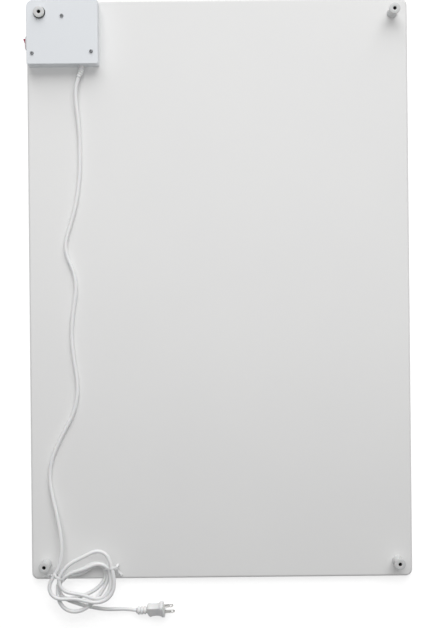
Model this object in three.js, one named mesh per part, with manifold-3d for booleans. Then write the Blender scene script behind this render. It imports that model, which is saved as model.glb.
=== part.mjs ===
// An infrared panel heater lying on its front face, back upwards, with its control box, wall spacers,
// rocker switch and mains cord. Millimetres: +X right, +Y towards the top edge in use, +Z out of the back.
// Origin: the centre of the radiant front face.
import * as THREE from "three";
import { mergeVertices } from "three/addons/utils/BufferGeometryUtils.js";
import Module from "manifold-3d";

const wasm = await Module();
wasm.setup();

// ---------------------------------------------------------------- driving dimensions
const GAP = 0.3; // between pieces that touch

const PANEL = { width: 600, height: 912, corner: 10.5, edge: 3.8, back: 12 };
const FRONT_BOARD_TOP = 4.8;
const CARRIER = { bottom: 5.1, top: 6.1, inset: 13 };
const BACK_BOARD_BOTTOM = 6.4;

const WIRE = {
  radius: 0.9, level: 7.4, runs: 12, halfSpan: 255, bottom: -410, top: 400, returnRun: 424, bend: 9,
};
const GROOVE = { width: 2.6, level: 7.3 };
const LEADS = [
  { x: -255, y: 374.6 },
  { x: -232, y: 374.6 },
];

const SPACER = { x: 276, y: 431, height: 30, body: 7.5, head: 8.75, bore: 2.75, spigot: 4.6, sunk: 2.4 };

const BOX = { left: -296.5, right: -185.5, bottom: 351, top: 451, height: 24, wall: 2, lid: 2 };
const BOX_CORNERS = [2.5, 2.5, 2.5, 10]; // bottom left, bottom right, top right, top left
const BOX_FLOOR = PANEL.back + GAP + BOX.wall;
const BOX_RIM = PANEL.back + BOX.height - BOX.lid - GAP;
const LID_TOP = PANEL.back + BOX.height;
const LID_SCREWS = [
  { name: "cover_screw_top", x: -241, y: 425.7 },
  { name: "cover_screw_left", x: -287.9, y: 368.1 },
  { name: "cover_screw_right", x: -195.8, y: 369.9 },
];
const BASE_SCREWS = [
  { name: "base_screw_left", x: -262, y: 408 },
  { name: "base_screw_right", x: -194, y: 441 },
];

const SWITCH = {
  y: 385, z: 24, bezelLength: 21.4, bezelWidth: 15.4, bezelHeight: 2.3, bodyLength: 18.8, bodyWidth: 12.2,
  openLength: 17.2, openWidth: 10.6, depth: 14.5, floor: 1.5, pivotIn: 1,
};
const ROCKER = {
  width: 10, tilt: 10, crest: 4.3, reach: 8.2, wall: 1.1, pin: 1.2, stem: 1.9, stemBore: 1.35,
};
const SEESAW = { pivot: 9.2, tilt: 8, halfLength: 7.2, width: 3.8, thick: 0.8, contactAt: 6.5 };
const TAB = { thick: 0.8, width: 4.8, end: 21 };

const CUTOUT = { x: -207, y: 427, radius: 8, tabSpacing: 8 };
const BLOCK = { x: -226, y: 398, length: 22, depth: 18, height: 12, pitch: 10, hole: 2.4, holeLevel: 5 };

const CORD = { radius: 3, x: -213, exitZ: 20, innerEnd: 372 };
const BUSH = { free: 18, bend: 30, tip: 3.9, root: 5.2, neck: 4.6, flange: 5.4 };
const CLAMP = { y: 362, width: 6, span: 22, screwSpacing: 16 };
const CORE = 0.9; // radius of an insulated core

const PLUG = { x: -92.3, y: -505.3, z: 13.35, yaw: 5, pitch: 9.5, roll: 26, tail: 43 };
const BLADE = { length: 16.5, width: 6.3, thick: 1.5, spacing: 12.7, hole: 1.6 };

// The free stretch of the cord down the back of the panel: points on its centre line.
const CORD_RUN = [
  [-218.5, 333.3, 20], [-220.1, 330.8, 20], [-222.5, 324, 19.4], [-223.6, 311, 17.4], [-223, 298, 15.8],
  [-221.7, 282, 15.35], [-219.4, 264, 15.35], [-218, 242, 15.35], [-217.5, 218, 15.35],
  [-218, 186, 15.35], [-220.5, 160, 15.35],
  [-225, 133, 15.35], [-231, 110, 15.35], [-238, 88, 15.35], [-242, 69, 15.35], [-239, 51, 15.35],
  [-231.5, 35, 15.35], [-226.5, 17, 15.35], [-226, -4, 15.35], [-229.5, -28, 15.35], [-232.8, -55, 15.35],
  [-233, -80, 15.35], [-230.5, -106, 15.35], [-226.5, -132, 15.35], [-224.6, -155, 15.35],
  [-227, -178, 15.35], [-234.5, -201, 15.35], [-247, -224, 15.35], [-259, -248, 15.35],
  [-267.5, -272, 15.35], [-269.8, -296, 15.35], [-266.5, -322, 15.35], [-260, -351, 15.35],
  [-254.5, -379, 15.35], [-252, -404, 15.35], [-253.5, -424, 15.35], [-257, -437, 15.35],
];
const CORD_STEPS = 54;

// The last stretch on the floor, from the hank to the plug's tail.
const CORD_LEAD = [
  [-207, -502.5, 3.1], [-192, -504.4, 3.1], [-175, -505.6, 3.1], [-160, -506, 3.2], [-147, -507.6, 4.2],
  [-135.1, -509, 5.9],
];
const LEAD_STEPS = 6;

// Outline of the tied hank, seen from above, and of the gap inside its turns.
const HANK_OUTLINE = [
  [-278, -477], [-262, -445], [-234, -423], [-194, -407], [-171, -426], [-164.5, -460], [-178, -493],
  [-212, -511], [-240, -515], [-265, -495],
];
const HANK_GAP = [
  [-244, -466], [-222, -457], [-195, -448], [-200, -463], [-222, -472],
];
const HANK = { topOnPanel: 30, topOnFloor: 20, stepY: -474 };
const TIES = [
  { name: "twist_tie_left", x: -255.5, y: -456, turn: -41, span: 24 },
  { name: "twist_tie_right", x: -179.5, y: -450, turn: 0, span: 25 },
];
const TIE = { width: 4, wall: 0.8, bottom: 12.7, height: 13 };

// ---------------------------------------------------------------- finishes
function finish(color, roughness, metalness = 0) {
  return new THREE.MeshStandardMaterial({ color, roughness, metalness });
}
const coatedBoard = finish(0xe9e9e8, 0.55);
const fibreSheet = finish(0xd8d0bd, 0.9);
const bond = finish(0xcfcac0, 0.8);
const resistanceWire = finish(0x9a8f84, 0.4, 0.9);
const whitePlastic = finish(0xe6e9ea, 0.42);
const spacerPlastic = finish(0xdfe2e2, 0.45);
const redPlastic = finish(0x9c1f3c, 0.3);
const blackPlastic = finish(0x1d1d1f, 0.5);
const zincSteel = finish(0xb6b8ba, 0.35, 1);
const brass = finish(0xc9a24c, 0.35, 1);
const springSteel = finish(0x8d9094, 0.3, 1);
const lampGlass = finish(0xe8a070, 0.1);
const aluminium = finish(0xc4c7ca, 0.35, 1);
const phenolic = finish(0x3b2a20, 0.5);
const cordSheath = finish(0xe4e5e5, 0.5);
const brownCore = finish(0x6b4226, 0.5);
const blueCore = finish(0x2c5fa8, 0.5);
const whiteSleeve = finish(0xdcdad2, 0.7);
const nickel = finish(0xb9b6ad, 0.3, 1);

// ---------------------------------------------------------------- making solids
// A closed geometry as a solid that can be joined and cut.
function solid(geometry) {
  const bare = new THREE.BufferGeometry().setAttribute("position", geometry.getAttribute("position"));
  if (geometry.index) bare.setIndex(geometry.index);
  const merged = mergeVertices(bare, 1e-4);
  const corners = merged.index.array;
  const kept = [];
  for (let i = 0; i < corners.length; i += 3) {
    const [a, b, c] = corners.slice(i, i + 3);
    if (a !== b && b !== c && c !== a) kept.push(a, b, c);
  }
  return new wasm.Manifold(
    new wasm.Mesh({
      numProp: 3,
      vertProperties: merged.attributes.position.array,
      triVerts: new Uint32Array(kept),
    }),
  );
}

function geometryOf(body) {
  const mesh = body.getMesh();
  const geometry = new THREE.BufferGeometry();
  geometry.setAttribute("position", new THREE.BufferAttribute(mesh.vertProperties, 3));
  geometry.setIndex(new THREE.BufferAttribute(mesh.triVerts, 1));
  const faceted = geometry.toNonIndexed();
  faceted.computeVertexNormals();
  return faceted;
}

function join(...geometries) {
  return geometryOf(geometries.map(solid).reduce((a, b) => a.add(b)));
}

function cut(geometry, ...tools) {
  return geometryOf(tools.map(solid).reduce((a, b) => a.subtract(b), solid(geometry)));
}

function block(x0, x1, y0, y1, z0, z1) {
  const box = new THREE.BoxGeometry(x1 - x0, y1 - y0, z1 - z0);
  return box.translate((x0 + x1) / 2, (y0 + y1) / 2, (z0 + z1) / 2);
}

// An upright cylinder from z0 to z1.
function post(x, y, z0, z1, radius, sides = 20) {
  const cylinder = new THREE.CylinderGeometry(radius, radius, z1 - z0, sides);
  return cylinder.rotateX(Math.PI / 2).translate(x, y, (z0 + z1) / 2);
}

// A cylinder along X, centred on the origin.
function rod(radius, length, sides) {
  return new THREE.CylinderGeometry(radius, radius, length, sides).rotateZ(Math.PI / 2);
}

// A body turned round the Z axis; its profile of [radius, height] runs up the outside.
function turned(profile, sides = 20) {
  const points = profile.map(([radius, height]) => new THREE.Vector2(radius, height));
  return new THREE.LatheGeometry(points, sides).rotateX(Math.PI / 2);
}

// The corners of a rectangle with rounded corners, anticlockwise from the bottom left.
function roundedOutline(x0, x1, y0, y1, radii, arcSteps = 5) {
  const corners = [
    [x0, y0, 1, 1, Math.PI],
    [x1, y0, -1, 1, 1.5 * Math.PI],
    [x1, y1, -1, -1, 0],
    [x0, y1, 1, -1, 0.5 * Math.PI],
  ];
  return corners.flatMap(([x, y, inX, inY, start], corner) => {
    const radius = radii[corner];
    return Array.from({ length: arcSteps + 1 }, (_, step) => {
      const angle = start + (step / arcSteps) * (Math.PI / 2);
      return new THREE.Vector2(
        x + inX * radius + radius * Math.cos(angle),
        y + inY * radius + radius * Math.sin(angle),
      );
    });
  });
}

// Skins outlines of equal point count, stacked in rising z, into one closed body.
function loft(sections) {
  const count = sections[0].outline.length;
  const corners = sections.flatMap(({ outline, z }) => outline.flatMap((p) => [p.x, p.y, z]));
  const faces = [];
  for (let level = 0; level < sections.length - 1; level++) {
    for (let i = 0; i < count; i++) {
      const next = (i + 1) % count;
      const [a, b] = [level * count + i, level * count + next];
      faces.push(a, b, b + count, a, b + count, a + count);
    }
  }
  const lid = (sections.length - 1) * count;
  for (const [a, b, c] of THREE.ShapeUtils.triangulateShape(sections[0].outline, [])) faces.push(a, c, b);
  for (const [a, b, c] of THREE.ShapeUtils.triangulateShape(sections.at(-1).outline, [])) {
    faces.push(lid + a, lid + b, lid + c);
  }
  const geometry = new THREE.BufferGeometry();
  geometry.setAttribute("position", new THREE.Float32BufferAttribute(corners, 3));
  return geometry.setIndex(faces);
}

// A slab with a quarter-round edge on its top (upwards) or bottom face.
function roundedSlab({ x0, x1, y0, y1, radii, z0, z1, edge, upwards, rounds = 4 }) {
  const rim = Array.from({ length: rounds + 1 }, (_, i) => {
    const angle = (i / rounds) * (Math.PI / 2);
    return { inset: edge * (1 - Math.cos(angle)), depth: edge * (1 - Math.sin(angle)) };
  });
  const ring = (inset, z) => ({
    outline: roundedOutline(x0 + inset, x1 - inset, y0 + inset, y1 - inset, radii.map((r) => r - inset)),
    z,
  });
  const rounded = rim.map(({ inset, depth }) => ring(inset, upwards ? z1 - depth : z0 + depth));
  return upwards
    ? loft([ring(0, z0), ...rounded])
    : loft([...rounded.reverse(), ring(0, z1)]);
}

function round(radius, sides) {
  return new THREE.Shape(
    Array.from({ length: sides }, (_, i) => {
      const angle = (i / sides) * 2 * Math.PI;
      return new THREE.Vector2(radius * Math.cos(angle), radius * Math.sin(angle));
    }),
  );
}

function square(side) {
  const h = side / 2;
  return new THREE.Shape([[-h, -h], [h, -h], [h, h], [-h, h]].map(([x, y]) => new THREE.Vector2(x, y)));
}

// A path that turns exactly at its listed points.
class Polyline extends THREE.Curve {
  constructor(points) {
    super();
    this.points = points;
  }
  at(share, offset = 0) {
    const last = this.points.length - 1;
    return this.points[THREE.MathUtils.clamp(Math.round(share * last) + offset, 0, last)];
  }
  getPointAt(share) {
    return this.at(share).clone();
  }
  getTangentAt(share) {
    return this.at(share, 1).clone().sub(this.at(share, -1)).normalize();
  }
}

function sweep(section, path, steps) {
  return new THREE.ExtrudeGeometry(section, { steps, bevelEnabled: false, extrudePath: path });
}

// A round lead through hand-set points.
function tube(points, radius, sides, steps) {
  const path = new THREE.CatmullRomCurve3(points.map((p) => new THREE.Vector3(...p)), false, "centripetal");
  return sweep(round(radius, sides), path, steps);
}

const heater = new THREE.Group();
function add(name, geometry, material, holder = heater) {
  const mesh = new THREE.Mesh(geometry, material);
  mesh.name = name;
  holder.add(mesh);
  return mesh;
}

// ---------------------------------------------------------------- radiant panel
const halfWidth = PANEL.width / 2;
const halfHeight = PANEL.height / 2;
const panelOutline = {
  x0: -halfWidth, x1: halfWidth, y0: -halfHeight, y1: halfHeight,
  radii: Array(4).fill(PANEL.corner), edge: PANEL.edge,
};
const spacerPlaces = [
  { name: "spacer_top_left", x: -SPACER.x, y: SPACER.y },
  { name: "spacer_top_right", x: SPACER.x, y: SPACER.y },
  { name: "spacer_bottom_left", x: -SPACER.x, y: -SPACER.y },
  { name: "spacer_bottom_right", x: SPACER.x, y: -SPACER.y },
];

// The wire runs up and down in half-round turns and comes home along the top edge.
function heatingRoute(shortOfLead) {
  const pitch = (2 * WIRE.halfSpan) / (WIRE.runs - 1);
  const turnRadius = pitch / 2;
  const turnSteps = 6;
  const route = [];
  const mark = (x, y) => route.push(new THREE.Vector3(x, y, 0));
  mark(LEADS[0].x, LEADS[0].y - shortOfLead);
  for (let run = 0; run < WIRE.runs - 1; run++) {
    const down = run % 2 === 0;
    const centreX = -WIRE.halfSpan + (run + 0.5) * pitch;
    const centreY = down ? WIRE.bottom + turnRadius : WIRE.top - turnRadius;
    for (let step = 0; step <= turnSteps; step++) {
      const angle = Math.PI - (step / turnSteps) * Math.PI;
      const side = down ? -1 : 1;
      mark(centreX + turnRadius * Math.cos(angle), centreY + side * turnRadius * Math.sin(angle));
    }
  }
  for (const [centreX, from] of [[WIRE.halfSpan - WIRE.bend, 0], [LEADS[1].x + WIRE.bend, 90]]) {
    for (let degrees = from; degrees <= from + 90; degrees += 30) {
      const angle = THREE.MathUtils.degToRad(degrees);
      const y = WIRE.returnRun - WIRE.bend + WIRE.bend * Math.sin(angle);
      mark(centreX + WIRE.bend * Math.cos(angle), y);
    }
  }
  mark(LEADS[1].x, LEADS[1].y + shortOfLead);
  return route;
}

function alongHeatingRoute(section, level, shortOfLead) {
  const route = heatingRoute(shortOfLead);
  return sweep(section, new Polyline(route), route.length - 1).translate(0, 0, level);
}

function addPanel() {
  const screwBores = spacerPlaces.map(({ x, y }) => post(x, y, -1, PANEL.back + 1, SPACER.bore + 0.35));
  const seats = spacerPlaces.map(({ x, y }) => {
    return post(x, y, PANEL.back - SPACER.sunk - GAP, PANEL.back + 1, SPACER.spigot + GAP);
  });
  const leadHoles = LEADS.map(({ x, y }) => post(x, y, 0, PANEL.back + 1, 2.6, 12));
  const screwHoles = BASE_SCREWS.map(({ x, y }) => post(x, y, 8, PANEL.back + 1, 1.9, 12));

  const front = roundedSlab({ ...panelOutline, z0: 0, z1: FRONT_BOARD_TOP, upwards: false });
  add("front_board", cut(front, ...screwBores), coatedBoard);

  const back = roundedSlab({ ...panelOutline, z0: BACK_BOARD_BOTTOM, z1: PANEL.back, upwards: true });
  const groove = alongHeatingRoute(square(GROOVE.width), GROOVE.level, 0.5);
  add("back_board", cut(back, groove, ...screwBores, ...seats, ...leadHoles, ...screwHoles), coatedBoard);

  const sheet = { z0: CARRIER.bottom, z1: CARRIER.top };
  const reachX = halfWidth - CARRIER.inset;
  const reachY = halfHeight - CARRIER.inset;
  const carrier = block(-reachX, reachX, -reachY, reachY, sheet.z0, sheet.z1);
  const carrierBores = spacerPlaces.map(({ x, y }) => post(x, y, 0, PANEL.back, SPACER.bore + 1.6));
  add("element_carrier", cut(carrier, ...carrierBores), fibreSheet);

  const frame = roundedSlab({ ...panelOutline, ...sheet, edge: 0.4, upwards: true, rounds: 1 });
  const inside = block(-reachX - 1, reachX + 1, -reachY - 1, reachY + 1, 0, PANEL.back);
  add("bond_frame", cut(frame, inside), bond);

  add("heating_wire", alongHeatingRoute(round(WIRE.radius, 6), WIRE.level, 2.7), resistanceWire);
  LEADS.forEach(({ x, y }, i) => {
    add(`lead_crimp_${i + 1}`, post(x, y, CARRIER.top + GAP, PANEL.back - 1, 2, 12), nickel);
  });
}

// ---------------------------------------------------------------- wall spacers
// A tube with a flared head, seated by a short spigot in a counterbore of the back board.
function addSpacers() {
  const { body, head, bore, spigot, sunk, height } = SPACER;
  const profile = [
    [bore, -sunk], [spigot, -sunk], [spigot, GAP], [body + 0.4, GAP], [body + 0.4, 2],
    [body, 2.6], [body, height - 4.2], [head, height - 3.2], [head, height - 0.4],
    [head - 0.4, height], [bore + 0.4, height], [bore, height - 0.4], [bore, -sunk],
  ];
  for (const { name, x, y } of spacerPlaces) {
    add(name, turned(profile, 18), spacerPlastic).position.set(x, y, PANEL.back);
  }
}

// ---------------------------------------------------------------- screws
// A pan-head screw standing on z = 0 by its head, with a cross recess.
function panScrew(headRadius, headHeight, shankRadius, shankLength) {
  const screw = turned([
    [0, -shankLength], [shankRadius * 0.4, -shankLength], [shankRadius, 1.2 - shankLength], [shankRadius, 0],
    [headRadius, 0], [headRadius, headHeight * 0.45], [headRadius * 0.75, headHeight * 0.88],
    [headRadius * 0.35, headHeight], [0, headHeight],
  ], 10);
  const reach = headRadius * 0.55;
  const arm = headRadius * 0.13;
  const low = headHeight * 0.4;
  const slots = [
    block(-reach, reach, -arm, arm, low, headHeight + 1),
    block(-arm, arm, -reach, reach, low, headHeight + 1),
  ];
  return cut(screw, ...slots);
}

// ---------------------------------------------------------------- control box
const boxOutline = { x0: BOX.left, x1: BOX.right, y0: BOX.bottom, y1: BOX.top, radii: BOX_CORNERS };

function insetBox(inset, z0, z1) {
  const { left, right, bottom, top } = BOX;
  const radii = BOX_CORNERS.map((r) => Math.max(r - inset, 0.4));
  const outline = roundedOutline(left + inset, right - inset, bottom + inset, top - inset, radii, 4);
  return loft([{ outline, z: z0 }, { outline, z: z1 }]);
}

function addBoxBase() {
  const floor = PANEL.back + GAP;
  const bosses = LID_SCREWS.map(({ x, y }) => post(x, y, floor, BOX_RIM, 3.5, 16));
  const clampPillars = [-1, 1].map((side) => {
    return post(CORD.x + (side * CLAMP.screwSpacing) / 2, CLAMP.y, floor, CORD.exitZ + 2, 2.6, 12);
  });
  const cordRest = block(
    CORD.x - 4, CORD.x + 4, CLAMP.y - CLAMP.width / 2, CLAMP.y + CLAMP.width / 2,
    floor, CORD.exitZ - CORD.radius - GAP,
  );
  const cutoutGuard = cut(
    post(CUTOUT.x, CUTOUT.y, floor, BOX_FLOOR + 3, CUTOUT.radius + 1.8, 24),
    post(CUTOUT.x, CUTOUT.y, 0, BOX_RIM, CUTOUT.radius + GAP, 24),
  );
  const tray = cut(insetBox(0, floor, BOX_RIM), insetBox(BOX.wall, BOX_FLOOR, LID_TOP));
  const fitted = join(tray, ...bosses, ...clampPillars, cordRest, cutoutGuard);

  const switchHole = block(
    BOX.left - 1, BOX.left + BOX.wall + 1,
    SWITCH.y - SWITCH.bodyLength / 2 - GAP, SWITCH.y + SWITCH.bodyLength / 2 + GAP,
    SWITCH.z - SWITCH.bodyWidth / 2 - GAP, SWITCH.z + SWITCH.bodyWidth / 2 + GAP,
  );
  const glandHole = new THREE.CylinderGeometry(4.9, 4.9, 3 * BOX.wall, 20);
  glandHole.translate(CORD.x, BOX.bottom + BOX.wall / 2, CORD.exitZ);
  const openings = [
    switchHole,
    glandHole,
    post(-SPACER.x, SPACER.y, 0, BOX_RIM, SPACER.body + 1.2, 24),
    post(CUTOUT.x, CUTOUT.y, 0, BOX_FLOOR + 1, CUTOUT.radius + GAP, 24),
    ...LEADS.map(({ x, y }) => post(x, y, 0, BOX_FLOOR + 1, 2.6, 12)),
    ...BASE_SCREWS.map(({ x, y }) => post(x, y, 0, BOX_FLOOR + 1, 1.9, 12)),
    ...LID_SCREWS.map(({ x, y }) => post(x, y, BOX_FLOOR, LID_TOP, 1.75, 12)),
    ...[-1, 1].map((side) => {
      return post(CORD.x + (side * CLAMP.screwSpacing) / 2, CLAMP.y, BOX_FLOOR, BOX_RIM, 1.5, 10);
    }),
  ];
  add("box_base", cut(fitted, ...openings), whitePlastic);

  for (const { name, x, y } of BASE_SCREWS) {
    add(name, panScrew(2.9, 1.8, 1.6, 5), zincSteel).position.set(x, y, BOX_FLOOR + GAP);
  }
}

function addBoxCover() {
  const plate = roundedSlab({
    ...boxOutline, z0: BOX_RIM + GAP, z1: LID_TOP, edge: 0.8, upwards: true, rounds: 2,
  });
  const ribInset = BOX.wall + GAP;
  const rib = cut(insetBox(ribInset, BOX_RIM - 1.2, BOX_RIM + 1), insetBox(ribInset + 1.2, 0, 2 * LID_TOP));
  const holes = [
    post(-SPACER.x, SPACER.y, 0, 2 * LID_TOP, 10.3, 32),
    ...LID_SCREWS.map(({ x, y }) => post(x, y, 0, 2 * LID_TOP, 1.8, 12)),
  ];
  add("box_cover", cut(join(plate, rib), ...holes), whitePlastic);
  for (const { name, x, y } of LID_SCREWS) {
    add(name, panScrew(3, 2.1, 1.45, 12), zincSteel).position.set(x, y, LID_TOP + GAP);
  }
}

// ---------------------------------------------------------------- rocker switch
// Its pieces are drawn round the rocker's pin: +X into the box, +Y along the rocker.
const switchGroup = new THREE.Group();
switchGroup.position.set(BOX.left + SWITCH.pivotIn, SWITCH.y, SWITCH.z);
heater.add(switchGroup);

function addSwitchBody() {
  const wallFace = -SWITCH.pivotIn;
  const { bezelLength, bezelWidth, bezelHeight } = SWITCH;
  const { bodyLength, bodyWidth, openLength, openWidth, depth } = SWITCH;
  const bezel = roundedSlab({
    x0: -bezelWidth / 2, x1: bezelWidth / 2, y0: -bezelLength / 2, y1: bezelLength / 2,
    radii: Array(4).fill(1.6), z0: GAP, z1: bezelHeight, edge: 1, upwards: true, rounds: 3,
  }).rotateY(-Math.PI / 2).translate(wallFace, 0, 0);
  const back = wallFace + depth;
  const shell = block(wallFace - 1, back, -bodyLength / 2, bodyLength / 2, -bodyWidth / 2, bodyWidth / 2);
  const catchHeight = 0.6;
  const catches = [-1, 1].map((side) => {
    const base = (side * bodyLength) / 2;
    const wedge = new THREE.Shape([
      new THREE.Vector2(wallFace + BOX.wall + GAP, base - side * 0.2),
      new THREE.Vector2(back - 4, base - side * 0.2),
      new THREE.Vector2(wallFace + BOX.wall + GAP, base + side * catchHeight),
    ]);
    return new THREE.ExtrudeGeometry(wedge, { depth: 5, bevelEnabled: false }).translate(0, 0, -2.5);
  });
  const well = block(
    -20, back - SWITCH.floor, -openLength / 2, openLength / 2, -openWidth / 2, openWidth / 2,
  );
  const pinHole = post(0, 0, -bodyWidth, bodyWidth, ROCKER.pin + GAP, 16);
  const slots = [-SEESAW.contactAt, 0, SEESAW.contactAt].map((y) => {
    const halfTab = TAB.thick / 2 + GAP;
    return block(0, 2 * back, y - halfTab, y + halfTab, -TAB.width / 2 - GAP, TAB.width / 2 + GAP);
  });
  add("switch_body", cut(join(bezel, shell, ...catches), well, pinHole, ...slots), whitePlastic, switchGroup);
}

// The rocker is a hollow shell with two pins and a stem, seen here from its side: two shallow faces that
// meet in a valley over the pin, and round ends centred on the pin.
function addRocker() {
  const { width, tilt, crest, reach, wall, pin, stem, stemBore } = ROCKER;
  const end = [-106, -98, -90, -82, -76].map((degrees) => {
    const angle = THREE.MathUtils.degToRad(degrees);
    return new THREE.Vector2(reach * Math.cos(angle), reach * Math.sin(angle));
  });
  const halfOutline = [new THREE.Vector2(-(crest + 1.31), -7.45), ...end];
  const mirrored = halfOutline.map((p) => new THREE.Vector2(p.x, -p.y)).reverse();
  const outline = new THREE.Shape([new THREE.Vector2(-crest, 0), ...halfOutline, ...mirrored]);
  const shell = new THREE.ExtrudeGeometry(outline, { depth: width, bevelEnabled: false });
  shell.translate(0, 0, -width / 2);
  const inside = new THREE.Shape(
    [[3, -6.8], [3, 6.8], [-4.2, 6.3], [-3.2, 0], [-4.2, -6.3]].map((p) => new THREE.Vector2(...p)),
  );
  const hollow = new THREE.ExtrudeGeometry(inside, { depth: width - 2 * wall, bevelEnabled: false });
  hollow.translate(0, 0, wall - width / 2);
  const stemPost = rod(stem, 10.8, 16).translate(1.8, 0, 0);
  const springWell = rod(stemBore, 8, 12).translate(5.5, 0, 0);
  const pins = [-1, 1].map((side) => post(0, 0, side * 5 - 0.8, side * 5 + 0.8, pin, 12));
  const rocker = cut(join(cut(shell, hollow), stemPost, ...pins), springWell);

  const moving = new THREE.Group();
  moving.rotation.z = THREE.MathUtils.degToRad(tilt);
  switchGroup.add(moving);
  add("rocker", rocker, redPlastic, moving);

  const nose = turned([[0, 0], [1, 0], [1, 2.3], [0.7, 2.8], [0, 3]], 12);
  add("plunger", nose.rotateY(Math.PI / 2).translate(5.5, 0, 0), brass, moving);

  const turnSteps = 8;
  const coilSteps = 5 * turnSteps;
  const coilRadius = 0.8;
  const coil = Array.from({ length: coilSteps + 1 }, (_, i) => {
    const angle = (i / turnSteps) * 2 * Math.PI;
    const along = 2 + (3.1 * i) / coilSteps;
    return new THREE.Vector3(along, coilRadius * Math.cos(angle), coilRadius * Math.sin(angle));
  });
  add("rocker_spring", sweep(round(0.2, 5), new Polyline(coil), coil.length - 1), springSteel, moving);

  const lamp = new THREE.CapsuleGeometry(1.4, 3.8, 3, 12).rotateX(Math.PI / 2).translate(-1.3, 4.4, 0);
  add("neon_lamp", lamp, lampGlass, moving);
}

function addSwitchContacts() {
  const { pivot, tilt, halfLength, width, thick, contactAt } = SEESAW;
  const plate = block(-thick / 2, thick / 2, -halfLength, halfLength, -width / 2, width / 2);
  const button = rod(1.2, 0.8, 14).translate(0.6, contactAt, 0);
  const seesaw = add("contact_seesaw", join(plate, button), brass, switchGroup);
  seesaw.position.x = pivot;
  seesaw.rotation.z = THREE.MathUtils.degToRad(-tilt);

  const terminals = [
    { name: "terminal_line", y: 0, start: pivot + thick / 2 + 0.35, width: 3.2 },
    { name: "terminal_load", y: contactAt, start: 11.4, width: 2.4 },
    { name: "terminal_lamp", y: -contactAt, start: 11.4, width: 2.4 },
  ];
  for (const { name, y, start, width: neck } of terminals) {
    const halfThick = TAB.thick / 2;
    const halfTab = TAB.width / 2;
    const blade = block(12.2, TAB.end, -halfThick, halfThick, -halfTab, halfTab);
    const head = block(start, 12.6, -halfThick, halfThick, -neck / 2, neck / 2);
    const eye = new THREE.CylinderGeometry(0.8, 0.8, 3, 10).translate(TAB.end - 2, 0, 0);
    add(name, cut(join(blade, head), eye), brass, switchGroup).position.y = y;
  }
}

// ---------------------------------------------------------------- fittings in the box
function addTerminalBlock() {
  const floor = BOX_FLOOR + GAP;
  const body = block(
    BLOCK.x - BLOCK.length / 2, BLOCK.x + BLOCK.length / 2,
    BLOCK.y - BLOCK.depth / 2, BLOCK.y + BLOCK.depth / 2, floor, floor + BLOCK.height,
  );
  const ways = [-1, 1].map((side) => BLOCK.x + (side * BLOCK.pitch) / 2);
  const rows = [-1, 1].map((side) => BLOCK.y + side * 4.5);
  const holes = ways.map((x) => {
    const hole = new THREE.CylinderGeometry(BLOCK.hole, BLOCK.hole, 2 * BLOCK.depth, 12);
    return hole.translate(x, BLOCK.y, floor + BLOCK.holeLevel);
  });
  const waist = post(BLOCK.x, BLOCK.y, 0, BOX_RIM, 1.7, 12);
  const wells = ways.flatMap((x) => rows.map((y) => post(x, y, floor + 6, BOX_RIM, 2.2, 12)));
  add("terminal_block", cut(body, waist, ...holes, ...wells), blackPlastic);
  ways.forEach((x, way) => rows.forEach((y, row) => {
    const screw = post(0, 0, 0, 4.6, 1.9, 14);
    const slot = block(-3, 3, -0.3, 0.3, 3.8, 6);
    const place = add(`clamp_screw_${way * 2 + row + 1}`, cut(screw, slot), brass).position;
    place.set(x, y, floor + BLOCK.holeLevel + 1.4);
  }));
}

function addThermalCutout() {
  const { x, y, radius, tabSpacing } = CUTOUT;
  const base = PANEL.back + GAP;
  add("cutout_cap", turned([[0, 0], [radius, 0], [radius, 3.2], [radius - 0.6, 4], [0, 4]], 24), aluminium)
    .position.set(x, y, base);
  const body = turned([[0, 0], [radius - 0.8, 0], [radius - 0.8, 6], [radius - 1.6, 7.4], [0, 7.4]], 24);
  const sides = [-1, 1];
  const slots = sides.map((side) => {
    const place = (side * tabSpacing) / 2;
    return block(place - 0.7, place + 0.7, -3.45, 3.45, 5, 9);
  });
  add("cutout_body", cut(body, ...slots), phenolic).position.set(x, y, base + 4 + GAP);
  sides.forEach((side, i) => {
    const tab = block(-0.4, 0.4, -3.15, 3.15, 0, 7.6);
    const eye = rod(0.9, 3, 10).translate(0, 0, 5.6);
    add(`cutout_tab_${i + 1}`, cut(tab, eye), brass).position.set(x + (side * tabSpacing) / 2, y, base + 9.7);
  });
}

// Outside the box wall the bush and the cord in it bend aside together, on an arc in plan.
function bentAside(geometry) {
  const places = geometry.getAttribute("position");
  for (let i = 0; i < places.count; i++) {
    const along = BOX.bottom - GAP - places.getY(i);
    if (along <= 0) continue;
    const angle = along / BUSH.bend;
    const reach = BUSH.bend + places.getX(i) - CORD.x;
    places.setX(i, CORD.x - BUSH.bend + reach * Math.cos(angle));
    places.setY(i, BOX.bottom - GAP - reach * Math.sin(angle));
  }
  return geometry;
}

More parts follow.
